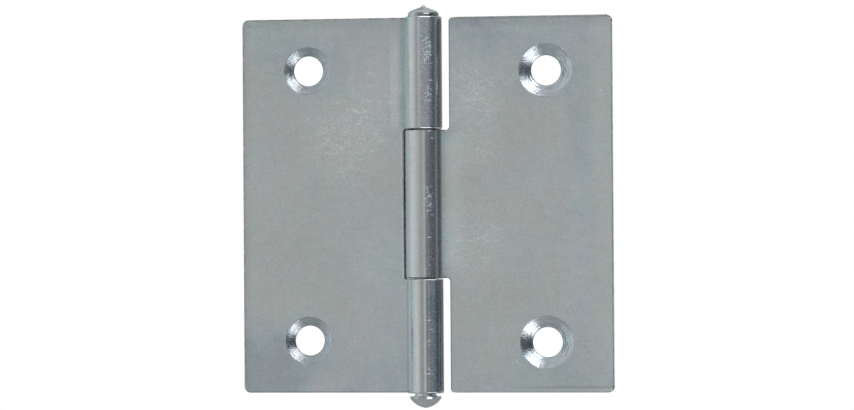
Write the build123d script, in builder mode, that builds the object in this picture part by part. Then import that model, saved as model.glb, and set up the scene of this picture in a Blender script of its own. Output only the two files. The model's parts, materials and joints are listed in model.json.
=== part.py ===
"""Square butt hinge, open flat: two rolled steel leaves on a headed pin.

The pin stands on Z with its middle at the origin, the leaves spread along X,
and the countersunk side, where the barrel stands proud, faces -Y.
"""

import os
from math import asin, cos, degrees, radians, sin

from build123d import *

# Leaves, in millimetres
leaf_height = 60.0
leaf_reach = 30.0  # pin axis to free edge
sheet = 1.2
corner_radius = 1.0
edge_break = 0.2  # broken edge of the stamped and tumbled blank

# Knuckles, rolled out of the sheet round the pin
knuckle_bore = 3.5
centre_knuckle = 23.6
knuckle_gap = 0.2  # between neighbouring knuckles, along the pin
seam_gap = 0.2  # between the end of the roll and its own leaf
lip_radius = 0.3  # worn edge at the end of the roll

# Cut-outs that let the other leaf's knuckles turn
window_clearance = 0.63  # barrel to the left leaf's window
window_corner_radius = 0.4
notch_clearance = 0.78  # barrel to the right leaf's notches
notch_corner_radius = 0.75
notch_shoulder_radius = 0.6

# Screw holes, countersunk from the front
hole_diameter = 4.8
hole_pitch = 43.3
hole_edge_distance = 10.7  # free edge to hole centre
right_hole_drop = 0.36  # the right leaf is pierced a little below its middle
left_countersink = 7.5
right_countersink = 8.4
countersink_angle = 120.0

# Pin, headed at both ends
pin_clearance = 0.04  # radial, in the bore
pin_head_diameter = 5.0
head_rim = 0.4  # straight rim under the top dome
dome_height = 1.1
stub_diameter = 0.9  # round stub that the heading tool leaves on the dome
stub_height = 0.32
stub_round = 0.2
pin_play = 0.45  # lower knuckle to bottom head
tail_rim = 0.25
tail_height = 1.68  # blunt cone of the bottom head
tail_bulge = 0.33
head_round = 0.12

# Worked-out sizes
bore_radius = knuckle_bore / 2
barrel_radius = bore_radius + sheet
front = bore_radius  # the leaves' front faces, on Y
back = barrel_radius  # the leaves' back faces, on Y
seam_angle = degrees(asin((front - seam_gap) / barrel_radius))
top = leaf_height / 2
tongue = centre_knuckle / 2
window_height = centre_knuckle + 2 * knuckle_gap
window_edge = barrel_radius + window_clearance
notch_edge = barrel_radius + notch_clearance
hole_x = leaf_reach - hole_edge_distance
swing = 4 * barrel_radius  # cutters reach this far, well past the barrel
pin_radius = bore_radius - pin_clearance
head_radius = pin_head_diameter / 2


def on_circle(radius, angle):
    """Point at this angle on a circle round the pin axis."""
    return (radius * cos(radians(angle)), radius * sin(radians(angle)))


def leaf_section():
    """Section of the left leaf: flat sheet, then a roll that curls back to its front face."""
    lip_angle = 180 - seam_angle
    turn = 270 + seam_angle
    with BuildSketch() as section:
        with BuildLine():
            Line((-leaf_reach, back), (0, back))
            CenterArc((0, 0), barrel_radius, 90, -turn)
            Line(on_circle(barrel_radius, lip_angle), on_circle(bore_radius, lip_angle))
            CenterArc((0, 0), bore_radius, lip_angle, turn)
            Line((0, front), (-leaf_reach, front))
            Line((-leaf_reach, front), (-leaf_reach, back))
        make_face()
        lip = section.vertices().sort_by_distance(on_circle(barrel_radius, lip_angle))[0]
        fillet(lip, lip_radius)
    return section.sketch


def blank_edges(leaf):
    """Edges of the blank's rim, front and back, without the seam, the holes or the corner lines."""
    rim = leaf.faces().filter_by(Axis.Z)
    return rim.edges().filter_by(Axis.Y, reverse=True)


# Left leaf, with the window between its two outer knuckles
with BuildPart() as left_leaf:
    add(leaf_section())
    extrude(amount=top, both=True)
    with BuildSketch(Plane.XZ):
        with Locations((-window_edge, 0)):
            Rectangle(window_edge + swing, window_height, align=(Align.MIN, Align.CENTER))
        fillet(vertices().group_by(Axis.X)[0], window_corner_radius)
    extrude(amount=swing, both=True, mode=Mode.SUBTRACT)
    fillet(edges().filter_by(Axis.Y).group_by(Axis.X)[0], corner_radius)
    chamfer(blank_edges(left_leaf), edge_break)
    with Locations(Plane((-hole_x, front, 0), x_dir=(1, 0, 0), z_dir=(0, -1, 0))):
        with GridLocations(0, hole_pitch, 1, 2):
            CounterSinkHole(hole_diameter / 2, left_countersink / 2, counter_sink_angle=countersink_angle)

# Right leaf, with the centre knuckle between its two notches
with BuildPart() as right_leaf:
    add(mirror(leaf_section(), Plane.YZ, mode=Mode.PRIVATE))
    extrude(amount=top, both=True)
    with BuildSketch(Plane.XZ):
        with Locations((notch_edge, tongue), (notch_edge, -tongue - top)):
            Rectangle(notch_edge + swing, top, align=(Align.MAX, Align.MIN))
        fillet(vertices().group_by(Axis.X)[-1].sort_by(Axis.Y)[1:3], notch_corner_radius)
    extrude(amount=swing, both=True, mode=Mode.SUBTRACT)
    fillet(edges().filter_by(Axis.Y).group_by(Axis.X)[-1], corner_radius)
    shoulders = edges().filter_by(Axis.Y).filter_by_position(Axis.X, 0, notch_edge)
    fillet(shoulders.group_by(Axis.Z)[0] + shoulders.group_by(Axis.Z)[-1], notch_shoulder_radius)
    chamfer(blank_edges(right_leaf), edge_break)
    with Locations(Plane((hole_x, front, -right_hole_drop), x_dir=(1, 0, 0), z_dir=(0, -1, 0))):
        with GridLocations(0, hole_pitch, 1, 2):
            CounterSinkHole(hole_diameter / 2, right_countersink / 2, counter_sink_angle=countersink_angle)

# Pin, dropped in from the top until its head seats on the upper knuckle
rim_top = top + head_rim
dome_top = rim_top + dome_height
dome_radius = (head_radius**2 + dome_height**2) / (2 * dome_height)
dome_angle = degrees(asin(head_radius / dome_radius))
tail_top = -top - pin_play
tail_edge = tail_top - tail_rim
tail_tip = tail_edge - tail_height
with BuildPart() as pin:
    with BuildSketch(Plane.XZ):
        with BuildLine():
            SagittaArc((0, tail_tip), (head_radius, tail_edge), -tail_bulge)
            Polyline(
                (head_radius, tail_edge),
                (head_radius, tail_top),
                (pin_radius, tail_top),
                (pin_radius, top),
                (head_radius, top),
                (head_radius, rim_top),
            )
            CenterArc((0, dome_top - dome_radius), dome_radius, 90 - dome_angle, dome_angle)
            Line((0, dome_top), (0, tail_tip))
        make_face()
        rims = vertices().group_by(Axis.X)[-1].sort_by(Axis.Y)
        fillet(rims[:2] + rims[-1:], head_round)
    revolve(axis=Axis.Z)
    with Locations((0, 0, dome_top + stub_height - stub_diameter / 2)):
        Sphere(stub_diameter / 2)
    fillet(edges().filter_by(Plane.XY).sort_by(Axis.Z)[-1], stub_round)

os.makedirs("parts", exist_ok=True)
for piece, name in ((left_leaf, "left_leaf"), (right_leaf, "right_leaf"), (pin, "pin")):
    piece.part.label = name
    export_step(piece.part, f"parts/{name}.step")
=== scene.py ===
# %% [markdown]
# # A square butt hinge
#
# The real hinge is three pieces of zinc-plated steel: two stamped leaves, whose
# tongues are rolled into knuckles, and a headed pin that runs through them all.
# The imported solids give the frame: every piece made here stands where its solid
# does and turns with the same body. What this script adds is what plating,
# tumbling, piercing and rolling leave on the metal, and some painted light and shade.

# %% Load the imported frame
import json
from math import asin, cos, degrees, hypot, pi, radians, sin, tan

import bmesh
import bpy
from mathutils import Matrix, Vector


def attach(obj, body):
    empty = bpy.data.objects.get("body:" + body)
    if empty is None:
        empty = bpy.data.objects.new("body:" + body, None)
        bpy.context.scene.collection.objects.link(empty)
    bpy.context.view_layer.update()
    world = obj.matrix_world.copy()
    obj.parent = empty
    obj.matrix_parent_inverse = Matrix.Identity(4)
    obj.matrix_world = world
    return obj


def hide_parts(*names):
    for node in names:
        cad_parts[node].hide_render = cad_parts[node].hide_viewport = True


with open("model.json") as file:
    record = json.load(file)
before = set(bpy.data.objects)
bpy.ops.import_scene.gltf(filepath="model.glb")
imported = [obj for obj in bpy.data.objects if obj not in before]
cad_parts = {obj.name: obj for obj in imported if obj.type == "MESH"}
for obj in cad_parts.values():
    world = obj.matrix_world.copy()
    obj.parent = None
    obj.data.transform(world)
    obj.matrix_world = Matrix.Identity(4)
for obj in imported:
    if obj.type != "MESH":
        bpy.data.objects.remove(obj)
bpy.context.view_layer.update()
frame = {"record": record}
MM = 0.001  # the frame is in metres

# %% [markdown]
# ## The sizes
#
# A piece that stands for a solid has to repeat its sizes, because the meshes are made
# from scratch: the solids' own triangles are coarse on the barrel, where a mirror-like
# metal shows every facet. Only small things differ, all by about 0.2 mm or less: the
# seam is almost closed, the window, its corners and the joints between the knuckles
# follow the picture more closely, worn edges are round, and the pin's heads have a
# fuller shoulder, a slimmer stub and a rim.

# %% Sizes of the leaves, in metres
REACH = 30.0 * MM  # pin axis to free edge
HEIGHT = 60.0 * MM
TOP = HEIGHT / 2
SHEET = 1.2 * MM
BORE = 1.75 * MM  # radius inside a knuckle
BARREL = BORE + SHEET
FRONT = BORE  # a leaf's front face, on Y
BACK = FRONT + SHEET
SEAM_GAP = 0.03 * MM
TURN = radians(270) + asin((FRONT - SEAM_GAP) / BARREL)  # how far the tongue is rolled
TOUCH = 0.01 * MM  # closer than this counts as touching
print("barrel", 2 * BARREL / MM, "mm across, rolled through", round(degrees(TURN), 1), "degrees")

# %% [markdown]
# ## The blank
#
# A leaf starts as a flat blank, stamped out of sheet. It could be drawn as a list
# of points, but scoring a plain rectangle and breaking a piece out of it is closer
# to the press tool: `bisect_plane` scores, `delete` breaks out, and dissolving the
# leftover score lines gives one clean outline. Rounding the corners while the blank
# is still flat is easy, as a bevel of single vertices. Both blanks are made on the
# left of the pin.

# %% Stamp the outlines
WINDOW_EDGE = 3.5 * MM  # pin axis to the left leaf's window
WINDOW_LOW, WINDOW_HIGH = -11.78 * MM, 12.07 * MM
NOTCH_EDGE = 3.73 * MM  # pin axis to the right leaf's notches
TONGUE_LOW, TONGUE_HIGH = -11.71 * MM, 11.98 * MM
NEARLY_STRAIGHT = radians(1)


def score(bm, point, direction):
    """One straight score across everything in the mesh."""
    everything = bm.verts[:] + bm.edges[:] + bm.faces[:]
    bmesh.ops.bisect_plane(bm, geom=everything, plane_co=point, plane_no=direction)


def stamp_outline(cut_edge, cut_low, cut_high, cut_is_window):
    """A flat blank; the cut is a window in its middle or a notch at each end."""
    bm = bmesh.new()
    upright = Matrix.Rotation(radians(90), 4, "X")
    size = Matrix.Diagonal((REACH, 1, HEIGHT, 1))
    place = Matrix.Translation((-REACH / 2, FRONT, 0))
    bmesh.ops.create_grid(bm, x_segments=1, y_segments=1, size=0.5, matrix=place @ size @ upright)
    score(bm, (-cut_edge, 0, 0), (1, 0, 0))
    score(bm, (0, 0, cut_low), (0, 0, 1))
    score(bm, (0, 0, cut_high), (0, 0, 1))
    middles = [(cell, cell.calc_center_median()) for cell in bm.faces]
    waste = [cell for cell, at in middles
             if at.x > -cut_edge and (cut_low < at.z < cut_high) == cut_is_window]
    bmesh.ops.delete(bm, geom=waste, context="FACES")
    bmesh.ops.dissolve_faces(bm, faces=bm.faces[:])
    straight = [v for v in bm.verts if v.calc_edge_angle() < NEARLY_STRAIGHT]
    bmesh.ops.dissolve_verts(bm, verts=straight)
    return bm


left_blank = stamp_outline(WINDOW_EDGE, WINDOW_LOW, WINDOW_HIGH, True)
right_blank = stamp_outline(NOTCH_EDGE, TONGUE_LOW, TONGUE_HIGH, False)
print("corners stamped:", len(left_blank.verts), "left,", len(right_blank.verts), "right")

# %% Round their corners
CORNER, WINDOW_CORNER, NOTCH_CORNER, SHOULDER_CORNER = 1.0 * MM, 0.25 * MM, 0.6 * MM, 0.6 * MM
CORNER_SEGMENTS = 8


def at_free_edge(at):
    """Whether a corner is on the half of the leaf away from the pin."""
    return at.x < -REACH / 2


def at_window(at):
    """Whether a corner belongs to the window or a notch, beside the barrel."""
    return -REACH / 2 < at.x < -BARREL


def round_corners(bm, radius, chosen):
    """Rounds the outline's corners that the rule chooses by their place."""
    corners = [v for v in bm.verts if chosen(v.co)]
    bmesh.ops.bevel(bm, geom=corners, offset=radius, offset_type="OFFSET", segments=CORNER_SEGMENTS,
                    profile=0.5, affect="VERTICES", material=-1, clamp_overlap=True)


round_corners(left_blank, CORNER, at_free_edge)
round_corners(left_blank, WINDOW_CORNER, at_window)
round_corners(right_blank, CORNER, at_free_edge)
round_corners(right_blank, NOTCH_CORNER, lambda at: at_window(at) and abs(at.z) < TOP / 2)
round_corners(right_blank, SHOULDER_CORNER, lambda at: at_window(at) and abs(at.z) > TOP / 2)
print("outline points:", len(left_blank.verts), "left,", len(right_blank.verts), "right")

# %% [markdown]
# ## Rolling the knuckles
#
# The press curls each tongue round a mandrel. `spin` does just that: it takes the
# tongue's end face and sweeps it round the pin axis, so that the roll stays one
# skin with the leaf and ends in a seam. Tumbling then softens the edges, the left
# leaf's more than the right one's, and not all of them alike: the lip at the seam is
# worn least. A Bevel modifier that is limited by edge weights gives each edge its
# share. A run of edges keeps one weight from end to end, because two widths can't
# meet in a line. The rounded mesh then goes back into the bmesh for the next step.

# %% Give the blanks their thickness and roll them
ROLL_STEPS = 96


def thicken(bm):
    """Turns the outline into a plate, from the front face back."""
    grown = bmesh.ops.extrude_face_region(bm, geom=bm.faces[:])["geom"]
    rear = [part for part in grown if isinstance(part, bmesh.types.BMVert)]
    bmesh.ops.translate(bm, verts=rear, vec=(0, SHEET, 0))
    bmesh.ops.recalc_face_normals(bm, faces=bm.faces[:])


def roll_tongues(bm):
    """Sweeps the end face of each tongue round the pin axis."""
    ends = [f for f in bm.faces if all(abs(v.co.x) < TOUCH for v in f.verts)]
    for end in ends:
        bmesh.ops.spin(bm, geom=[end, *end.edges, *end.verts], cent=(0, 0, 0), axis=(0, 0, 1),
                       dvec=(0, 0, 0), angle=-TURN, steps=ROLL_STEPS, use_duplicate=False, use_merge=False)


for blank in (left_blank, right_blank):
    thicken(blank)
    roll_tongues(blank)
    print("rolled leaf:", len(blank.faces), "faces, closed:", all(e.is_manifold for e in blank.edges))

# %% Soften the edges
LEFT_ROUND, RIGHT_ROUND = 0.32 * MM, 0.17 * MM
ROUND_SEGMENTS = 4
OUTER_RUN, INNER_RUN, LIP = 0.9, 1.0, 0.18  # shares of the widest round
SHARP = radians(50)
LONG_RUN = 5 * MM  # only the edges along the pin are longer
SKIN = 0.1 * SHEET  # an edge further inside the roll crosses the sheet


def softness(edge):
    """How far tumbling has rounded this edge.

    The back of the leaf runs on round the outside of the roll, and its front round the inside.
    """
    first, second = (v.co for v in edge.verts)
    middle = (first + second) / 2
    along_pin = abs(first.z - second.z) > LONG_RUN
    from_axis = hypot(max(middle.x, -BARREL), middle.y)
    in_roll = middle.x > -TOUCH or middle.y < FRONT - TOUCH
    across_sheet = BORE + SKIN < from_axis < BARREL - SKIN
    if in_roll and (along_pin or across_sheet):
        return LIP
    if in_roll:
        return OUTER_RUN if from_axis > BORE + SHEET / 2 else INNER_RUN
    return OUTER_RUN if middle.y > FRONT + SHEET / 2 else INNER_RUN


def soften(bm, widest):
    """Rounds every sharp edge by its own share of the widest round."""
    weights = bm.edges.layers.float.new("bevel_weight_edge")
    for edge in bm.edges:
        edge[weights] = softness(edge) if edge.calc_face_angle(0) > SHARP else 0.0
    mesh = bpy.data.meshes.new("tumbling")
    bm.to_mesh(mesh)
    holder = bpy.data.objects.new("tumbling", mesh)
    bpy.context.scene.collection.objects.link(holder)
    rounding = holder.modifiers.new("rounding", "BEVEL")
    rounding.limit_method = "WEIGHT"
    rounding.width = widest
    rounding.segments = ROUND_SEGMENTS
    rounded = bpy.data.meshes.new_from_object(holder.evaluated_get(bpy.context.evaluated_depsgraph_get()))
    bm.clear()
    bm.from_mesh(rounded)
    bpy.data.objects.remove(holder)
    bpy.data.meshes.remove(rounded)


for blank, widest in ((left_blank, LEFT_ROUND), (right_blank, RIGHT_ROUND)):
    soften(blank, widest)
    print("softened:", len(blank.faces), "faces, closed:", all(e.is_manifold for e in blank.edges))

# %% Sort the faces by how they were worked
FLAT, TURNED, ROLLED, CUT = 0, 1, 2, 3  # places of the finishes on a leaf
EDGE_BAND = 0.5 * MM  # faces this near an edge belong to it
SIDE_LIMIT, TOP_LIMIT = 0.98, 0.99  # a face that looks less straight ahead than this is cut edge
LEFT_LIMITS = (0.99, 0.9)  # the same at the free edge, and how far a knuckle's cut end looks along the pin
RIGHT_LIMITS = (0.7, 0.15)


def sort_faces(bm, free_edge_limit, mouth_limit):
    """Says which faces are flat sheet, which are rolled and which are sheared edge."""
    for face in bm.faces:
        at = face.calc_center_median()
        if at.x < -BARREL:
            on_free_edge = at.x < -REACH + EDGE_BAND and abs(at.z) < TOP - CORNER
            edge_limit = TOP_LIMIT if at.z > TOP - EDGE_BAND else SIDE_LIMIT
            limit = free_edge_limit if on_free_edge else edge_limit
            face.material_index = FLAT if abs(face.normal.y) > limit else CUT
        else:
            face.material_index = CUT if abs(face.normal.z) > mouth_limit else ROLLED


for blank, limits in ((left_blank, LEFT_LIMITS), (right_blank, RIGHT_LIMITS)):
    sort_faces(blank, *limits)
    counts = [sum(f.material_index == place for f in blank.faces) for place in (FLAT, ROLLED, CUT)]
    print("flat, rolled and cut faces:", counts)

# %% [markdown]
# ## Piercing and countersinking
#
# Each hole is a turned form: a soft lip, a cone of 120 degrees, a short straight
# land and a soft edge at the back. A Boolean cut would do, but it leaves ragged
# faces in a plate this thin. Here the flat face is taken off, filled again round a
# ring, and the ring is drawn down into the hole step by step. The cone's faces are
# marked, because the cutter leaves another surface there than the rolled sheet has.

# %% Rings in the face of a leaf
RING_SEGMENTS = 96
FACING = 0.9  # a face turned this far to one side faces it


def ring(bm, centre, radius):
    """A circle of edges, standing in the face of the leaf."""
    upright = Matrix.Translation(centre) @ Matrix.Rotation(radians(90), 4, "X")
    made = bmesh.ops.create_circle(bm, cap_ends=False, segments=RING_SEGMENTS, radius=radius,
                                   matrix=upright)
    return list({edge for v in made["verts"] for edge in v.link_edges})


def refill(bm, facing, centres, radius):
    """Takes the flat face off on one side and fills it again, leaving a ring open at each centre."""
    flat = max((f for f in bm.faces if f.normal.y * facing > FACING), key=lambda f: f.calc_area())
    outline = list(flat.edges)
    bmesh.ops.delete(bm, geom=[flat], context="FACES_ONLY")
    rings = [ring(bm, centre, radius) for centre in centres]
    bmesh.ops.triangle_fill(bm, edges=outline + [e for r in rings for e in r],
                            use_beauty=True, normal=(0, facing, 0))
    return rings


def draw_down(bm, edges, centre, start, end):
    """Draws a ring on to another radius and depth; both are given as (radius, depth)."""
    grown = bmesh.ops.extrude_edge_only(bm, edges=edges)["geom"]
    verts = [part for part in grown if isinstance(part, bmesh.types.BMVert)]
    ratio = end[0] / start[0]
    to_centre = Matrix.Translation(-Vector(centre))
    bmesh.ops.scale(bm, verts=verts, vec=(ratio, 1, ratio), space=to_centre)
    bmesh.ops.translate(bm, verts=verts, vec=(0, end[1] - start[1], 0))
    return [part for part in grown if isinstance(part, bmesh.types.BMEdge)]


# %% Pierce the leaves
HOLE = 2.4 * MM  # radius of a screw hole
HOLE_X, HOLE_Z = 19.3 * MM, 21.65 * MM
HOLE_DROP = 0.36 * MM  # the right leaf is pierced a little low
LEFT_SINK, RIGHT_SINK = 3.75 * MM, 4.2 * MM  # radius of a countersink
CONE_SLOPE = tan(radians(30))  # depth for each step inwards
CONE_STEPS = 4  # steps from the lip to the foot of the cone
HOLE_LIP = 0.1 * MM


def pierce(bm, sink_radius, drop):
    """Two countersunk holes, from the front face to the back face."""
    heights = (HOLE_Z - drop, -HOLE_Z - drop)
    fronts = [(-HOLE_X, FRONT, z) for z in heights]
    backs = [(-HOLE_X, BACK, z) for z in heights]
    cone_depth = (sink_radius - HOLE) * CONE_SLOPE
    # Each bend is drawn in two short steps, which are shares of the lip
    steps = [(sink_radius + HOLE_LIP, 0), (sink_radius, 0.25 * HOLE_LIP),
             (sink_radius - HOLE_LIP, HOLE_LIP * CONE_SLOPE + 0.1 * HOLE_LIP),
             (HOLE + HOLE_LIP, cone_depth - HOLE_LIP * CONE_SLOPE),
             (HOLE, cone_depth + 0.4 * HOLE_LIP), (HOLE, SHEET - HOLE_LIP),
             (HOLE + 0.3 * HOLE_LIP, SHEET - 0.3 * HOLE_LIP)]
    front_rings = refill(bm, -1, fronts, steps[0][0])
    back_rings = refill(bm, 1, backs, HOLE + HOLE_LIP)
    for centre, edges, back_edges in zip(fronts, front_rings, back_rings):
        for step, (start, end) in enumerate(zip(steps, steps[1:])):
            edges = draw_down(bm, edges, centre, start, end)
            if step < CONE_STEPS:
                for face in (face for edge in edges for face in edge.link_faces):
                    face.material_index = TURNED
        bmesh.ops.bridge_loops(bm, edges=edges + back_edges)


pierce(left_blank, LEFT_SINK, 0)
pierce(right_blank, RIGHT_SINK, HOLE_DROP)
print("pierced, open edges left:", [sum(e.is_boundary for e in b.edges) for b in (left_blank, right_blank)])

# %% [markdown]
# ## Finishing a piece
#
# The right leaf was made on the left, like its twin, so it is mirrored now, which
# turns its faces inside out; recalculating the normals puts them right. The big
# flats are shaded flat, because their thin triangles would drag the edges' bent
# normals far into the face. Everything else is smooth, with weighted normals.

# %% Turn meshes into pieces of the hinge
WELD = 0.001 * MM  # points closer than this are one
DEAD_FLAT = 0.9999
LARGE_FACES_FIRST = 100  # large faces decide the shading; 50 would be neutral


def finish_piece(bm, name, node):
    """Makes the mesh an object that stands for its solid, rides on its body and is evenly shaded."""
    bmesh.ops.remove_doubles(bm, verts=bm.verts[:], dist=WELD)
    bmesh.ops.recalc_face_normals(bm, faces=bm.faces[:])
    for face in bm.faces:
        face.smooth = abs(face.normal.y) < DEAD_FLAT
    mesh = bpy.data.meshes.new(name)
    bm.to_mesh(mesh)
    bm.free()
    piece = bpy.data.objects.new(name, mesh)
    bpy.context.scene.collection.objects.link(piece)
    shading = piece.modifiers.new("even_shading", "WEIGHTED_NORMAL")
    shading.weight = LARGE_FACES_FIRST
    shading.keep_sharp = True
    body = next(b for b, nodes in frame["record"]["behaviour"]["bodies"].items() if node in nodes)
    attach(piece, body)
    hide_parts(node)
    print(name, "rides on", body, "with", len(mesh.polygons), "faces")
    return piece


bmesh.ops.scale(right_blank, verts=right_blank.verts[:], vec=(-1, 1, 1))
left_piece = finish_piece(left_blank, "left_leaf_plate", "left_leaf")
right_piece = finish_piece(right_blank, "right_leaf_plate", "right_leaf")

# %% [markdown]
# ## The pin
#
# The pin is headed cold from wire: a low dome with a small stub on top, a plain
# shank, and a blunt cone with a rim below. Its outline is drawn once, with `spin` for
# the arcs and `extrude_vert_indiv` for the straights, and then spun round the axis.

# %% Sizes of the pin: radii, heights, and how far arcs stand off their chords
SHANK = 1.71 * MM
HEAD, HEAD_ROUND = 2.5 * MM, 0.12 * MM
RIM_TOP = TOP + 0.3 * MM
SHOULDER, SHOULDER_TOP, SHOULDER_BULGE = 1.95 * MM, TOP + 0.95 * MM, 0.12 * MM
STUB, STUB_FOOT, DOME_BULGE = 0.36 * MM, TOP + 1.53 * MM, 0.03 * MM
STUB_TOP, STUB_BULGE = TOP + 1.82 * MM, 0.08 * MM
TAIL_TOP = -TOP - 0.4 * MM
TAIL, TAIL_RIM, RIM_BULGE = 2.56 * MM, TAIL_TOP - 0.15 * MM, 0.02 * MM
TAIL_WAIST, TAIL_EDGE = 2.45 * MM, TAIL_TOP - 0.52 * MM
TAIL_TIP, TAIL_BULGE = TAIL_TOP - 1.98 * MM, 0.3 * MM
ARC_STEPS, HEAD_ROUND_STEPS, PIN_STEPS = 12, 3, 96
print("pin", round((STUB_TOP - TAIL_TIP) / MM, 2), "mm long")


# %% Draw its outline and spin it
def line_to(bm, vert, x, z):
    """A straight run of the outline, on to this radius and height."""
    grown = bmesh.ops.extrude_vert_indiv(bm, verts=[vert])["verts"][0]
    grown.co = (x, 0, z)
    return grown


def arc_to(bm, vert, x, z, bulge):
    """An arc on to this radius and height that stands off its chord by the bulge."""
    start, end = Vector(vert.co), Vector((x, 0, z))
    chord = end - start
    radius = (chord.length**2 / 4 + bulge**2) / (2 * bulge)
    outward = Vector((chord.z, 0, -chord.x)).normalized()
    centre = (start + end) / 2 - outward * (radius - bulge)
    angle = 2 * asin(chord.length / 2 / radius)
    bmesh.ops.spin(bm, geom=[vert], cent=centre, axis=(0, 1, 0), dvec=(0, 0, 0), angle=-angle,
                   steps=ARC_STEPS)
    bm.verts.ensure_lookup_table()
    return bm.verts[-1]


pin = bmesh.new()
point = pin.verts.new((0, 0, TAIL_TIP))
point = arc_to(pin, point, TAIL_WAIST, TAIL_EDGE, TAIL_BULGE)
point = arc_to(pin, point, TAIL, TAIL_RIM, RIM_BULGE)
point = line_to(pin, point, SHANK, TAIL_TOP)
point = line_to(pin, point, SHANK, TOP)
point = line_to(pin, point, HEAD, TOP)
point = line_to(pin, point, HEAD, RIM_TOP)
point = arc_to(pin, point, SHOULDER, SHOULDER_TOP, SHOULDER_BULGE)
point = arc_to(pin, point, STUB, STUB_FOOT, DOME_BULGE)
arc_to(pin, point, 0, STUB_TOP, STUB_BULGE)
rims = [v for v in pin.verts if abs(v.co.x - HEAD) < TOUCH and v.co.z < RIM_TOP - TOUCH]
bmesh.ops.bevel(pin, geom=rims, offset=HEAD_ROUND, offset_type="OFFSET", segments=HEAD_ROUND_STEPS,
                profile=0.5, affect="VERTICES", material=-1, clamp_overlap=True)
print("pin outline:", len(pin.verts), "points")
bmesh.ops.spin(pin, geom=pin.verts[:] + pin.edges[:], cent=(0, 0, 0), axis=(0, 0, 1), dvec=(0, 0, 0),
               angle=2 * pi, steps=PIN_STEPS, use_merge=True, use_duplicate=False)
pin_piece = finish_piece(pin, "headed_pin", "pin")

# %% [markdown]
# ## Zinc plating
#
# Bright zinc on sheet steel is a metal with a satin mirror: grey, a little blue,
# with a faint film of green, violet and straw from the passivating bath. It could be
# painted as a picture, but noise on Object coordinates stays sharp from near and
# needs no unwrapping. It comes at three scales: stains of a few millimetres, grain
# finer than half a millimetre, and single specks, pits and scratches. A finish is a
# plain dictionary of values that each step adds to, so the finishes share steps.
# Inside a finish all places and lengths are in millimetres.


# %% Small helpers for node trees
def plug(tree, socket, value):
    """A socket takes a value or the output of another node."""
    if isinstance(value, bpy.types.NodeSocket):
        tree.links.new(value, socket)
    else:
        socket.default_value = value


def add(tree, kind, settings=(), **sockets):
    """A node with its settings and sockets."""
    made = tree.nodes.new("ShaderNode" + kind)
    for key, value in dict(settings).items():
        setattr(made, key, value)
    for key, value in sockets.items():
        plug(tree, made.inputs[key.replace("_", " ")], value)
    return made


def sums(tree, operation, first, second=0.0):
    """A Math node with two terms."""
    made = add(tree, "Math", {"operation": operation})
    plug(tree, made.inputs[0], first)
    plug(tree, made.inputs[1], second)
    return made.outputs["Value"]


def vector(tree, operation, first, second=(0, 0, 0)):
    """A Vector Math node with two terms."""
    made = add(tree, "VectorMath", {"operation": operation})
    plug(tree, made.inputs[0], first)
    plug(tree, made.inputs[1], second)
    return made.outputs["Vector"]


def stretched(tree, place, times):
    """A place moved this many times as far from the origin."""
    return add(tree, "VectorMath", {"operation": "SCALE"}, Vector=place, Scale=times).outputs["Vector"]


def length_of(tree, offset):
    """How long an offset is."""
    return add(tree, "VectorMath", {"operation": "LENGTH"}, Vector=offset).outputs["Value"]


def axes(tree, place):
    """A place's distances along the axes, by name; bars mean the distance without its sign."""
    split = add(tree, "SeparateXYZ", Vector=place)
    along = {axis.lower(): split.outputs[axis] for axis in "XYZ"}
    for axis in "xz":
        along[f"|{axis}|"] = sums(tree, "ABSOLUTE", along[axis])
    return along


# %% Helpers for patterns
def between(tree, value, start, full):
    """A mark that is 0 where the value is at the start and 1 where it is full, with a smooth run."""
    mapped = add(tree, "MapRange", {"interpolation_type": "SMOOTHSTEP"}, Value=value, From_Min=start,
                 From_Max=full)
    return mapped.outputs["Result"]


def both(tree, *marks):
    """A mark only where all of these are."""
    joined = marks[0]
    for mark in marks[1:]:
        joined = sums(tree, "MULTIPLY", joined, mark)
    return joined


def noise(tree, place, size, detail=2.0, stretch=(1, 1, 1)):
    """Noise with lumps of about this size, longer where the stretch is above 1."""
    lumps = [1 / (size * s) for s in stretch]
    mapped = add(tree, "Mapping", Vector=place, Scale=lumps)
    return add(tree, "TexNoise", Vector=mapped.outputs["Vector"], Scale=1.0, Detail=detail).outputs["Fac"]


def wander(tree, place, size, detail=2.0, stretch=(1, 1, 1)):
    """Noise that goes as far below zero as above it."""
    return sums(tree, "SUBTRACT", noise(tree, place, size, detail, stretch), 0.5)


def shades(tree, value, stops):
    """A colour ramp with these (position, colour) stops."""
    ramp = tree.nodes.new("ShaderNodeValToRGB")
    while len(ramp.color_ramp.elements) < len(stops):
        ramp.color_ramp.elements.new(0.5)
    for element, (position, colour) in zip(ramp.color_ramp.elements, stops):
        element.position = position
        element.color = (*colour, 1)
    plug(tree, ramp.inputs["Fac"], value)
    return ramp.outputs["Color"]


# %% Marks that a finish can carry
CELLS_PER_LENGTH = 0.25  # cells of a dash pattern in the length of a dash
DASH_RIM, DASH_CORE = 0.16, 0.06  # where a dash begins and where it is full, in cells
FULL_SHARE = 0.9  # of the cells that have a dash, the part where it is at full strength


def dashes(tree, place, turn, length, width, share):
    """Thin marks, turned in the leaf's plane; the share says how many cells have one."""
    cells = add(tree, "Mapping", {"vector_type": "TEXTURE"}, Vector=place, Rotation=(0, turn, 0),
                Scale=(length, length, width))
    marks = add(tree, "TexVoronoi", Vector=cells.outputs["Vector"], Scale=CELLS_PER_LENGTH)
    picked = add(tree, "SeparateColor", Color=marks.outputs["Color"]).outputs["Red"]
    chosen = between(tree, picked, 1 - share, 1 - FULL_SHARE * share)
    return both(tree, between(tree, marks.outputs["Distance"], DASH_RIM, DASH_CORE), chosen)


def blot(tree, place, centre, radius):
    """A soft round patch, 1 in its middle and 0 at its rim."""
    return between(tree, length_of(tree, vector(tree, "SUBTRACT", place, centre)), radius, 0.0)


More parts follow.
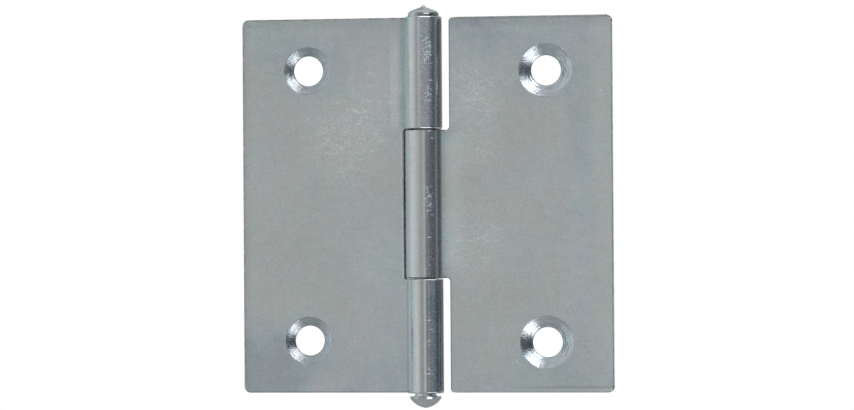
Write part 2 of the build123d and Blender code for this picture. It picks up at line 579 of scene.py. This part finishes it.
def raise_by(tree, look, key, mark, amount):
    """Adds a mark to one value of a finish."""
    look[key] = sums(tree, "ADD", look[key], sums(tree, "MULTIPLY", mark, amount))


def raise_all(tree, look, mark, effects):
    """Adds a mark to several values of a finish."""
    for key, amount in effects.items():
        raise_by(tree, look, key, mark, amount)


def where(tree, along, limits):
    """A mark where all of these (axis, start, full) limits hold."""
    return both(tree, *(between(tree, along[axis], start, full) for axis, start, full in limits))


def lay_marks(tree, place, look, marks):
    """Lays named marks on a finish and returns them; each has its limits and what it adds to the look."""
    along = axes(tree, place)
    laid = {}
    for name, (limits, effects) in marks.items():
        laid[name] = where(tree, along, limits)
        raise_all(tree, look, laid[name], effects)
    return laid


def marked(marks):
    """A step that lays these marks and does nothing else."""
    def step(tree, place, look):
        lay_marks(tree, place, look, marks)
    return step


# %% What all plated surfaces share
FILM = [(0.15, (1.03, 1.0, 0.965)), (0.36, (1.005, 1.0, 0.985)), (0.5, (0.985, 1.0, 1.0)),
        (0.64, (0.95, 0.985, 1.01)), (0.8, (0.89, 0.945, 0.98)), (1.0, (0.78, 0.84, 0.88))]  # straw to blue
TINT = [(0.2, (1.045, 0.98, 1.035)), (0.5, (1.0, 1.0, 1.0)), (0.8, (0.96, 1.015, 0.985))]  # violet to green
FILM_LUMPS = [(15, 0.6), (5, 0.55), (1.9, 0.4)]  # size of the lumps and how far the value wanders
TINT_LUMPS = [(7, 0.5), (2.6, 0.8)]
LEVEL_LUMPS = [(11, 0.14), (1.6, 0.13)]
ASIDE = (100, 100, 100)  # far enough away for the tint not to follow the film
GRAIN, GRAIN_DETAIL = 0.36, 3
GRAIN_EFFECTS = {"level": 0.3, "rough": 0.12, "height": 0.002}
SPECKS = [(0.4, 0.34, 0.05, 0.3), (2.0, 0.3, 0.03, -0.3)]  # turn, length, share, and bright or dark
SPECK_WIDTH = 0.3


def film_and_grain(tree, place, look):
    """The film's wandering tone, haze, grain, and a few specks and pits."""
    aside = vector(tree, "ADD", place, ASIDE)
    for key, start, lumps in (("tarnish", place, FILM_LUMPS), ("tint", aside, TINT_LUMPS),
                              ("level", place, LEVEL_LUMPS)):
        for size, amount in lumps:
            raise_by(tree, look, key, wander(tree, start, size), amount)
    raise_all(tree, look, wander(tree, place, GRAIN, GRAIN_DETAIL), GRAIN_EFFECTS)
    for turn, length, share, amount in SPECKS:
        raise_by(tree, look, "level", dashes(tree, place, turn, length, SPECK_WIDTH, share), amount)


# %% One finish
def plated(name, base, roughness, *steps):
    """A plated metal. Each step may change the working values of its look before they are joined."""
    material = bpy.data.materials.new(name)
    material.use_nodes = True
    tree = material.node_tree
    tree.nodes.clear()
    place = stretched(tree, add(tree, "TexCoord").outputs["Object"], 1 / MM)
    look = {"level": 1.0, "rough": roughness, "height": 0.0, "tarnish": 0.4, "tint": 0.5}
    for step in (film_and_grain, *steps):
        step(tree, place, look)
    film = vector(tree, "MULTIPLY", shades(tree, look["tarnish"], FILM), shades(tree, look["tint"], TINT))
    colour = vector(tree, "MULTIPLY", film, base)
    relief = add(tree, "Bump", Distance=MM, Height=look["height"])
    shader = add(tree, "BsdfPrincipled", Metallic=1.0, Base_Color=stretched(tree, colour, look["level"]),
                 Roughness=look["rough"], Normal=relief.outputs["Normal"])
    add(tree, "OutputMaterial", Surface=shader.outputs["BSDF"])
    print("finish", name, "has", len(tree.nodes), "nodes")
    return material


# %% [markdown]
# ## Five kinds of surface
#
# The same plating looks different where the metal was worked differently. The flats
# are dulled and scratched by handling, with tone lines and painted shade along their
# edges, painted light beside the seam and a painted shadow at the window's lip. The
# sheared edges are dark and torn, with painted shade inside the window and on the
# right leaf's corners. The countersinks keep the cutter's rings, with painted shade on
# one side. The rolled knuckles are burnished lengthwise and nicked where the tool let
# go; they carry painted light and shade and painted reflection lines, and their nicks
# and scuffs are made brighter as painted glints. The pin is drawn wire, with a painted
# dark reflection at the foot of its top head. Countersinks and knuckles differ from
# leaf to leaf, so each leaf has its own; the left leaf's countersinks are also painted
# darker, as painted shade. Marks that stay in one place are written as tables with
# names, because a table is easier to read and to change than a chain of nodes.

# %% Marks on the flats
BEHIND, AHEAD = (FRONT + 0.6 * SHEET) / MM, (FRONT + 0.4 * SHEET) / MM  # keeps a mark off the back
RIGHT_BAND = [("x", 21, 24.5), ("x", 27.5, 25.5), ("z", -25, -17)]
FLAT_MARKS = {
    "blue ends": ([("|z|", 17, 29)], {"tarnish": 0.2}),
    "blue band at the right": (RIGHT_BAND, {"tarnish": 0.2}),
    "pale lower part of that band": (RIGHT_BAND + [("z", 9, 2)], {"level": 0.06}),
    "pale right rim": ([("x", 26, 28)], {"level": 0.05}),
    "blue band beside the barrel": ([("x", -8, -5), ("x", -2.5, -3.0)], {"tarnish": 0.1}),
    "green strip beside the upper roll": (
        [("x", -4.4, -3.8), ("x", 0, -1), ("z", 11.5, 12.5), ("y", BEHIND, AHEAD)],
        {"tarnish": 0.5, "tint": 0.4}),
    # A strip beside the upper roll, made lighter
    "lighter strip beside the upper roll": (
        [("x", -5.95, -5.6), ("x", -4.3, -4.75), ("z", 12, 13), ("z", 29, 24), ("y", BEHIND, AHEAD)],
        {"level": 0.13}),
    "pale lip of the window": ([("x", -4.2, -3.95), ("|z|", 12, 11.5), ("x", 0, -1)], {"level": 0.12}),
    "dark line at the left edge": ([("x", -29.45, -29.6)], {"level": -0.1}),
    "shade towards the left edge": ([("x", -28.4, -29.5)], {"level": -0.06}),
    "shade towards the top": ([("z", 27.7, 29.2)], {"level": -0.06}),
    "more of it on the right leaf": ([("z", 27.7, 29.2), ("x", 0, 1)], {"level": -0.05}),
    "dark line at the right leaf's top": ([("z", 29.55, 29.7), ("x", 0, 1)], {"level": -0.2}),
    # Painted light beside the seam; the same mark also tints the film green and makes it rougher
    "painted light beside the seam, tinted and dulled": ([("x", 2.3, 3.2), ("x", 7.5, 3.2), ("|z|", 12.5, 9)],
                              {"level": 0.1, "tint": 0.12, "rough": 0.08}),
    "haze beside the seam": ([("x", 2.2, 2.6), ("x", 4.6, 3.0)], {"rough": 0.3, "level": -0.08}),
    "shadow above the burr at the foot": ([("z", -28.7, -29.175), ("z", -29.65, -29.175), ("x", 9, 24)],
                                          {"level": -0.17}),
    "light on that burr": ([("z", -29.25, -29.625), ("z", -30, -29.625), ("x", 9, 24)], {"level": 0.08}),
}
print("marks on the flats:", len(FLAT_MARKS))

# %% Stains
# x, z, radius and amount of each
STAINS = [(-28, -28, 14, 0.5), (24, 20, 10, 0.12), (-24, 27, 9, 0.1), (9, 28, 12, 0.3)]
HALO_RIM, HALO_CORE, HALO = 7.5, 4, 0.2  # the blue round a screw hole


def on_leaf(x, z):
    """A point of a leaf's front face, in millimetres."""
    return (x, FRONT / MM, z)


def holes_away(tree, place, drop):
    """Offset in the leaf's plane to the nearest screw hole of the leaves, and how far that is."""
    from_middle = vector(tree, "ABSOLUTE", vector(tree, "ADD", place, (0, 0, drop)))
    offset = vector(tree, "SUBTRACT", from_middle, (HOLE_X / MM, 0, HOLE_Z / MM))
    in_plane = vector(tree, "MULTIPLY", offset, (1, 0, 1))
    return in_plane, length_of(tree, in_plane)


def stained(tree, place, look):
    """The film gone blue round the holes and in stains."""
    halo = between(tree, holes_away(tree, place, 0.0)[1], HALO_RIM, HALO_CORE)
    raise_by(tree, look, "tarnish", halo, HALO)
    for x, z, radius, amount in STAINS:
        raise_by(tree, look, "tarnish", blot(tree, place, on_leaf(x, z), radius), amount)


print("stains:", len(STAINS))

# %% Dulled patches and scratches
DULLED = [(-12.5, 10.5, 11, 1.0), (7.5, 17.5, 8, 1.0), (8, -6, 11, 0.6), (-8, -9, 8, 0.3),
          (-8, 18, 8, 0.5), (8, 9, 6, 0.6)]  # x, z, radius and amount, as for the stains
DULLED_EFFECTS = {"level": 0.06, "tarnish": 0.1}
DUST, DUST_SHOWS, DUST_LIFT = 0.3, (0.5, 0.66), 0.24
SMEAR, SMEAR_DETAIL, SMEAR_STRETCH, SMEAR_SHOWS, SMEAR_LIFT = 0.9, 3, (2.5, 1, 1), (0.5, 0.7), 0.16
STROKES = [(0.62, 1.5), (0.4, 0.9), (-0.5, 1.1)]  # turn and length
STROKE_WIDTH, STROKE_SHARE, STROKE_LIFT = 0.13, 0.5, 0.7
SCRATCHES = [(0.7, 2.0), (-0.45, 1.4)]
SCRATCH_WIDTH, SCRATCH_SHARE, SCRATCH_LIFT = 0.15, 0.05, 0.2


def dulled(tree, place, look):
    """Patches dulled by handling, with dust, smears and short strokes, and a few scratches anywhere."""
    dust = between(tree, noise(tree, place, DUST), *DUST_SHOWS)
    smears = between(tree, noise(tree, place, SMEAR, SMEAR_DETAIL, SMEAR_STRETCH), *SMEAR_SHOWS)
    textures = [(dust, DUST_LIFT), (smears, SMEAR_LIFT)]
    for turn, length in STROKES:
        textures.append((dashes(tree, place, turn, length, STROKE_WIDTH, STROKE_SHARE), STROKE_LIFT))
    for x, z, radius, amount in DULLED:
        patch = blot(tree, place, on_leaf(x, z), radius)
        for key, effect in DULLED_EFFECTS.items():
            raise_by(tree, look, key, patch, effect * amount)
        for texture, lift in textures:
            raise_by(tree, look, "level", both(tree, patch, texture), lift * amount)
    for turn, length in SCRATCHES:
        scratch = dashes(tree, place, turn, length, SCRATCH_WIDTH, SCRATCH_SHARE)
        raise_by(tree, look, "level", scratch, SCRATCH_LIFT)


print("dulled patches:", len(DULLED))

# %% Painted shadow at the window's lip
LIP_LIMITS = [("|z|", 12, 11.7), ("x", 0, -1)]
LIP_START, LIP_FULL, LIP_SLANT, LIP_LEVEL = -3.9, -3.76, 0.007, -0.5
RAGGED_LUMPS, RAGGED = 1.2, 0.25


def painted_gap_shadow(tree, place, look):
    """A painted shadow along the window's edge: dark, ragged and a little slanted."""
    along = axes(tree, place)
    ragged = sums(tree, "MULTIPLY", wander(tree, place, RAGGED_LUMPS), RAGGED)
    slanted = sums(tree, "MULTIPLY", along["z"], LIP_SLANT)
    from_gap = sums(tree, "ADD", sums(tree, "ADD", along["x"], ragged), slanted)
    lip = both(tree, between(tree, from_gap, LIP_START, LIP_FULL), where(tree, along, LIP_LIMITS))
    # Painted shadow where the gap beside the barrel lies in shade
    raise_by(tree, look, "level", lip, LIP_LEVEL)


# %% Cut edges
CUT_MARKS = {
    # Painted shade on the cut faces inside the window, where the gap lies in shadow
    "painted shade inside the window": ([("x", -4.0, -3.8), ("x", -3.0, -3.2), ("|z|", 13, 12.5)],
                                  {"level": -0.75}),
    "oil in the joints": ([("|x|", 3.1, 2.9), ("|z|", 13, 12.5)], {"level": -0.7}),
    "bright notches": ([("x", 3.0, 3.3), ("x", 5, 4.4)], {"level": 1.5}),
    "right edge": ([("x", 29.4, 29.8), ("|z|", 29.1, 28.8)], {"level": 1.1}),
    # Painted shade on the right leaf's corners, taking the lamps' glints off them
    "painted shade at the right leaf's corners": ([("x", 28.8, 29.1), ("|z|", 28.8, 29.1)], {"level": -0.5}),
    "left edge": ([("x", -29.4, -29.7)], {"level": 0.1}),
    "top edge": ([("z", 29.4, 29.7)], {"level": 0.1}),
    "bottom edge": ([("z", -29.4, -29.7)], {"level": 0.2}),
}
TORN_LUMPS, TORN_DETAIL = 0.8, 3
TORN_EFFECTS = {"level": 1.7, "height": 0.03}


def sheared(tree, place, look):
    """The cut edges: torn in short runs along the edge, the right one most."""
    torn = wander(tree, place, TORN_LUMPS, TORN_DETAIL)
    raise_all(tree, look, torn, TORN_EFFECTS)
    laid = lay_marks(tree, place, look, CUT_MARKS)
    raise_by(tree, look, "level", both(tree, laid["right edge"], torn), TORN_EFFECTS["level"])


print("marks on the cut edges:", len(CUT_MARKS))

# %% Countersinks
RING_PITCH = 0.3  # between the cutter's rings
RING_BREAKS = 2.2  # the larger, the more often a ring is broken on its way round
RING_DETAIL, RING_EFFECTS = 3, {"height": 0.08, "level": 0.7}
GRIT_LUMPS = 0.22
PAINTED_SHADE_START, PAINTED_SHADE_FULL = 0.85, 0.98  # how far to the side the painted shade lies, 1 being straight beside the hole
# Painted shade on one side of each countersink, more in the lower hole
PAINTED_SHADE, LOWER_PAINTED_SHADE = -0.14, -0.2


def turned(drop, grit, dark_way):
    """The countersinks: broken rings round each hole, torn by the grit.

    The drop is how far below its middle the leaf is pierced. Painted shade darkens one side, more of it in
    the
    lower hole: the dark way is 1 where that side faces away from the pin and -1 where it faces the pin.
    """
    def step(tree, place, look):
        offset, radius = holes_away(tree, place, drop)
        outwards = vector(tree, "NORMALIZE", offset)
        count = sums(tree, "DIVIDE", radius, RING_PITCH)
        counted = add(tree, "CombineXYZ", Y=count).outputs["Vector"]
        wound = vector(tree, "ADD", stretched(tree, outwards, RING_BREAKS), counted)
        raise_all(tree, look, wander(tree, wound, 1.0, RING_DETAIL), RING_EFFECTS)
        raise_by(tree, look, "height", noise(tree, place, GRIT_LUMPS), grit)
        painted_shade = between(tree, axes(tree, outwards)["x"], dark_way * PAINTED_SHADE_START, dark_way * PAINTED_SHADE_FULL)
        lower = between(tree, axes(tree, place)["z"], 0, -1)
        raise_by(tree, look, "level", painted_shade, PAINTED_SHADE)
        raise_by(tree, look, "level", both(tree, painted_shade, lower), LOWER_PAINTED_SHADE)
    return step


print("cutter's rings every", RING_PITCH, "mm")

# %% Marks on the knuckles
ON_ROLL_FRONT = ("y", 1.2, 0.6)
UPPER, LOWER, CENTRE = ("z", 11.8, 12.4), ("z", -11.8, -12.4), ("|z|", 12, 11.7)
# Painted light and shade on the knuckles' reflections; the lit and dark sides also change the film's colour
KNUCKLE_MARKS = {
    "lit side of the upper knuckle": ([("x", -0.4, 0.1), ("x", 2.0, 1.5), ON_ROLL_FRONT, UPPER],
                                      {"level": 0.2, "tarnish": 0.2}),
    "dark side of the lower knuckle": ([("x", 1.1, 1.6), LOWER, ON_ROLL_FRONT],
                                       {"level": -0.2, "tarnish": 0.4}),
    "dark middle of the centre knuckle": ([("x", 0.5, 0.8), ("x", 1.8, 1.4), CENTRE, ON_ROLL_FRONT],
                                          {"level": -0.25}),
}
# Painted reflection lines on the left leaf's lower knuckle: middle, half width and brightness
LEFT_REFLECTION_LINES = [(0.11, 0.25, -0.15), (0.48, 0.2, 0.2), (0.8, 0.2, -0.25), (2.76, 0.08, 1.2),
             (-2.65, 0.3, -0.22), (-2.15, 0.14, 0.2), (-1.85, 0.2, -0.12)]
LEFT_DENTS = [(1, -1.35, 1.1, -0.45), (-1, -2.6, -0.3, 0.4), (-1, 1.3, 2.9, 0.4)]


def painted_reflection_lines(reflection_lines):
    """Painted reflection lines along the lower knuckle, from the middle, the half width and the brightness
    of each.
    """
    marks = {}
    for middle, half, amount in reflection_lines:
        sides = [("x", middle - half, middle), ("x", middle + half, middle)]
        marks[f"rub at {middle}"] = (sides + [LOWER, ON_ROLL_FRONT], {"level": amount})
    return marks


print("marks on the knuckles:", len(KNUCKLE_MARKS) + len(LEFT_REFLECTION_LINES))

# %% Knuckles
STREAK, STREAK_STRETCH, STREAK_EFFECTS = 0.3, (1, 1, 50), {"height": 0.005, "level": 0.25}
SHOWS = (0.5, 0.62)  # the part of a noise that makes a mark
DULL_LUMPS, DULL_HAZE = 0.2, 0.16
BLUED_AT, BLUED_RADIUS, BLUED = (1, -BARREL / MM, -16.5), 4, 0.6
BLUED_LIMITS = [("x", 0.3, 0.7), LOWER]
TOOL_SIDE = [("x", 0.1, 0.7), ("x", 2.1, 1.6), ("y", -1.4, -1.9)]
OFF_ENDS = [("|z|", 28.5, 26)]
NICKS = (0.0, 0.9, 0.16, 0.9)  # turn, length, width and share of the dashes
# The nicks are real; their extra brightness is a painted glint
NICK_EFFECTS = {"level": 0.6, "rough": 0.35, "tarnish": 0.3}
SCUFF_LUMPS, SCUFF_PATCHES = 0.4, 5
# The scuffs are real; their extra brightness is a painted glint
SCUFF_EFFECTS = {"level": 0.3, "rough": 0.25, "tarnish": 0.3}


def burnished(dents, reflection_lines):
    """The knuckles: streaks along the roll, painted light, shade and reflection lines, and scuffs and
    cross nicks where the tool let go, which are made brighter as painted glints.

    A dent puts a roll out of true. It is a side of the pin's middle (1 above, -1 below), a run across
    the roll and how far it rises there.
    """
    def step(tree, place, look):
        along = axes(tree, place)
        raise_all(tree, look, wander(tree, place, STREAK, stretch=STREAK_STRETCH), STREAK_EFFECTS)
        raise_by(tree, look, "rough", between(tree, noise(tree, place, DULL_LUMPS), *SHOWS), DULL_HAZE)
        for way, start, end, rise in dents:
            dent = where(tree, along, [("x", start, end), ("z", 0, way)])
            raise_by(tree, look, "height", dent, rise)
        lay_marks(tree, place, look, {**KNUCKLE_MARKS, **painted_reflection_lines(reflection_lines)})
        blued = both(tree, blot(tree, place, BLUED_AT, BLUED_RADIUS), where(tree, along, BLUED_LIMITS))
        raise_by(tree, look, "tarnish", blued, BLUED)
        side = where(tree, along, TOOL_SIDE)
        raise_all(tree, look, both(tree, dashes(tree, place, *NICKS), side), NICK_EFFECTS)
        patches = between(tree, noise(tree, place, SCUFF_PATCHES), *SHOWS)
        scuffs = between(tree, noise(tree, place, SCUFF_LUMPS), *SHOWS)
        on_side = both(tree, scuffs, side, patches, where(tree, along, OFF_ENDS))
        raise_all(tree, look, on_side, SCUFF_EFFECTS)
    return step


# %% Mix the finishes and put them on
ZINC, FLAT_ROUGHNESS = (0.64, 0.685, 0.695), 0.22
ROLLED_ZINC, ROLL_ROUGHNESS, WIRE_ROUGHNESS = (0.56, 0.588, 0.598), 0.13, 0.14
CUT_STEEL, CUT_ROUGHNESS = (0.33, 0.335, 0.335), 0.4
# The left leaf's countersinks are painted darker than the right's, as painted shade
LEFT_SINKS, RIGHT_SINKS, SINK_ROUGHNESS = (0.42, 0.465, 0.5), (0.5, 0.555, 0.59), 0.16
LEFT_GRIT, RIGHT_GRIT = 0.055, 0.03
PIN_MARKS = {
    # Painted dark reflection at the foot of the top head
    "painted dark reflection at the foot of the top head": (
        [("z", 30.68, 30.56), ("z", 29.9, 30.1), ("x", -1.6, -0.4), ("y", 0, -1)], {"level": -0.5}),
}
flat_zinc = plated("flat_zinc", ZINC, FLAT_ROUGHNESS, marked(FLAT_MARKS), painted_gap_shadow, stained, dulled)
cut_zinc = plated("cut_zinc", CUT_STEEL, CUT_ROUGHNESS, sheared)
drawn_zinc = plated("drawn_zinc", ROLLED_ZINC, WIRE_ROUGHNESS, marked(PIN_MARKS))
for leaf, sinks, sink_step, roll_step in (
        (left_piece, LEFT_SINKS, turned(0.0, LEFT_GRIT, 1), burnished(LEFT_DENTS, LEFT_REFLECTION_LINES)),
        (right_piece, RIGHT_SINKS, turned(HOLE_DROP / MM, RIGHT_GRIT, -1), burnished([], []))):
    turned_zinc = plated(leaf.name + "_countersinks", sinks, SINK_ROUGHNESS, sink_step)
    rolled_zinc = plated(leaf.name + "_knuckles", ROLLED_ZINC, ROLL_ROUGHNESS, roll_step)
    for finish in (flat_zinc, turned_zinc, rolled_zinc, cut_zinc):
        leaf.data.materials.append(finish)
pin_piece.data.materials.append(drawn_zinc)

# %% [markdown]
# ## The studio
#
# Metal shows the room, so the room is the finish. It could be built from white and
# grey cards, but a world that changes with the direction is easier to tune. Behind
# the hinge it is white, on the camera's left it is bright, and on its right it falls
# off to dark grey: that is what draws the barrel. Two soft lamps at the right, one
# high and one low, put the white glints on the knuckle ends and in the countersinks,
# and a weak one, low at the left, fills in.

# %% The room
CAMERA_AZIMUTH = radians(10.257)
WALLS = [  # bearing from the camera in degrees, and the wall's colour there
    (-180, (0.27, 0.345, 0.385)), (-128, (0.48, 0.575, 0.615)), (-104, (0.65, 0.76, 0.79)),
    (-86, (0.80, 0.855, 0.865)), (-70, (0.80, 0.81, 0.81)), (-55, (0.74, 0.74, 0.73)),
    (-42, (0.64, 0.64, 0.63)), (-29, (0.52, 0.52, 0.51)), (-21, (0.475, 0.475, 0.47)),
    (-14, (0.51, 0.51, 0.5)), (-4, (0.62, 0.63, 0.63)), (1, (0.60, 0.60, 0.60)),
    (8, (0.37, 0.37, 0.39)), (22, (0.335, 0.345, 0.375)), (36, (0.21, 0.22, 0.24)),
    (50, (0.13, 0.14, 0.16)), (63, (0.12, 0.13, 0.15)), (70, (0.15, 0.165, 0.185)),
    (76, (0.22, 0.24, 0.265)), (84, (0.31, 0.335, 0.36)), (92, (0.28, 0.31, 0.335)),
    (102, (0.31, 0.345, 0.37)), (112, (0.4, 0.445, 0.475)), (180, (0.55, 0.59, 0.62))]
CEILING, WALL_TOP, CEILING_EDGE = (0.7, 0.71, 0.72), 0.45, 0.9
WHITE = (1, 1, 1)
BACKDROP_RIM, BACKDROP_CORE = cos(radians(22)), cos(radians(13))


def room():
    """A world that depends on the direction round the pin axis, with a white backdrop behind the hinge."""
    world = bpy.data.worlds.new("room")
    world.use_nodes = True
    tree = world.node_tree
    tree.nodes.clear()
    facing = add(tree, "TexCoord").outputs["Generated"]
    turn = add(tree, "VectorRotate", {"rotation_type": "Z_AXIS"}, Vector=facing, Angle=-CAMERA_AZIMUTH)
    split = add(tree, "SeparateXYZ", Vector=turn.outputs["Vector"])
    towards = sums(tree, "MULTIPLY", split.outputs["Y"], -1.0)
    bearing = sums(tree, "ARCTAN2", split.outputs["X"], towards)
    share = add(tree, "MapRange", Value=bearing, From_Min=-pi, From_Max=pi).outputs["Result"]
    walls = shades(tree, share, [((at + 180) / 360, colour) for at, colour in WALLS])
    above = between(tree, split.outputs["Z"], WALL_TOP, CEILING_EDGE)
    upper = add(tree, "MixRGB", Fac=above, Color1=walls, Color2=(*CEILING, 1)).outputs["Color"]
    behind = between(tree, split.outputs["Y"], BACKDROP_RIM, BACKDROP_CORE)
    whole = add(tree, "MixRGB", Fac=behind, Color1=upper, Color2=(*WHITE, 1)).outputs["Color"]
    light = add(tree, "Background", Color=whole, Strength=1.0)
    add(tree, "OutputWorld", Surface=light.outputs["Background"])
    print("room has", len(WALLS), "shades of wall")
    return world


bpy.context.scene.world = room()
bpy.context.scene.view_settings.view_transform = "Standard"

# %% The floor
FLOOR_RADIUS, FLOOR_HEIGHT, FLOOR_SEGMENTS = 2.8, -0.6, 96
PAINT = [(0.3, (0.66, 0.66, 0.66)), (0.7, (0.70, 0.70, 0.69))]
PAINT_LUMPS, PAINT_ROUGHNESS = 3, 0.7
floor_mesh = bmesh.new()
bmesh.ops.create_circle(floor_mesh, cap_ends=True, segments=FLOOR_SEGMENTS, radius=FLOOR_RADIUS,
                        matrix=Matrix.Translation((0, 0, FLOOR_HEIGHT)))
floor_data = bpy.data.meshes.new("pale_floor")
floor_mesh.to_mesh(floor_data)
floor_mesh.free()
floor = bpy.data.objects.new("pale_floor", floor_data)
bpy.context.scene.collection.objects.link(floor)
paint = bpy.data.materials.new("pale_paint")
paint.use_nodes = True
paint_tree = paint.node_tree
paint_shader = paint_tree.nodes["Principled BSDF"]
paint_place = add(paint_tree, "TexCoord").outputs["Object"]
paint_tone = shades(paint_tree, noise(paint_tree, paint_place, PAINT_LUMPS), PAINT)
plug(paint_tree, paint_shader.inputs["Base Color"], paint_tone)
plug(paint_tree, paint_shader.inputs["Roughness"], PAINT_ROUGHNESS)
floor_data.materials.append(paint)
print("floor", 2 * FLOOR_RADIUS, "m across")


# %% The lamps
def soft_lamp(name, bearing, height, distance, size, level):
    """A square soft lamp that faces the hinge; its level is how bright its own surface is."""
    lamp = bpy.data.lights.new(name, "AREA")
    lamp.shape = "SQUARE"
    lamp.size = size
    lamp.energy = level * pi * size**2
    stand = bpy.data.objects.new(name, lamp)
    around = CAMERA_AZIMUTH + radians(bearing)
    up = radians(height)
    stand.location = distance * Vector((sin(around) * cos(up), -cos(around) * cos(up), sin(up)))
    stand.rotation_mode = "QUATERNION"
    stand.rotation_quaternion = stand.location.to_track_quat("Z", "Y")
    bpy.context.scene.collection.objects.link(stand)
    print(name, "gives", round(lamp.energy, 3), "W")


soft_lamp("high_lamp", bearing=26, height=38, distance=0.42, size=0.27, level=2.2)
soft_lamp("low_lamp", bearing=31, height=-36, distance=0.42, size=0.24, level=2.1)
soft_lamp("left_fill", bearing=-78, height=-24, distance=0.6, size=0.34, level=0.3)

# %% [markdown]
# ## The camera
#
# The picture was taken with a long lens, a little from the right and almost at the
# height of the hinge's middle. The numbers come from fitting the solids' corners
# and holes to their places in the picture.

# %% Camera
CAMERA_ELEVATION = radians(-0.6)
CAMERA_ROLL = radians(-0.379)
CAMERA_DISTANCE = 677.9 * MM
FOCAL_PIXELS = 4252.3
SHIFT_PIXELS = (2.444, -0.243)
IMAGE_WIDTH = 854
SENSOR_WIDTH = 36
CLIP_START = 10 * MM
camera_data = bpy.data.cameras.new("camera")
camera_data.sensor_width = SENSOR_WIDTH
camera_data.lens = FOCAL_PIXELS * SENSOR_WIDTH / IMAGE_WIDTH
camera_data.shift_x, camera_data.shift_y = (pixels / IMAGE_WIDTH for pixels in SHIFT_PIXELS)
camera_data.clip_start = CLIP_START
camera = bpy.data.objects.new("camera", camera_data)
bpy.context.scene.collection.objects.link(camera)
backwards = Vector((sin(CAMERA_AZIMUTH) * cos(CAMERA_ELEVATION),
                    -cos(CAMERA_AZIMUTH) * cos(CAMERA_ELEVATION), sin(CAMERA_ELEVATION)))
camera.location = backwards * CAMERA_DISTANCE
level_turn = (-backwards).to_track_quat("-Z", "Y").to_matrix()
camera.rotation_mode = "QUATERNION"
camera.rotation_quaternion = (level_turn @ Matrix.Rotation(CAMERA_ROLL, 3, "Z")).to_quaternion()
bpy.context.scene.camera = camera
print("lens", round(camera_data.lens, 1), "mm")
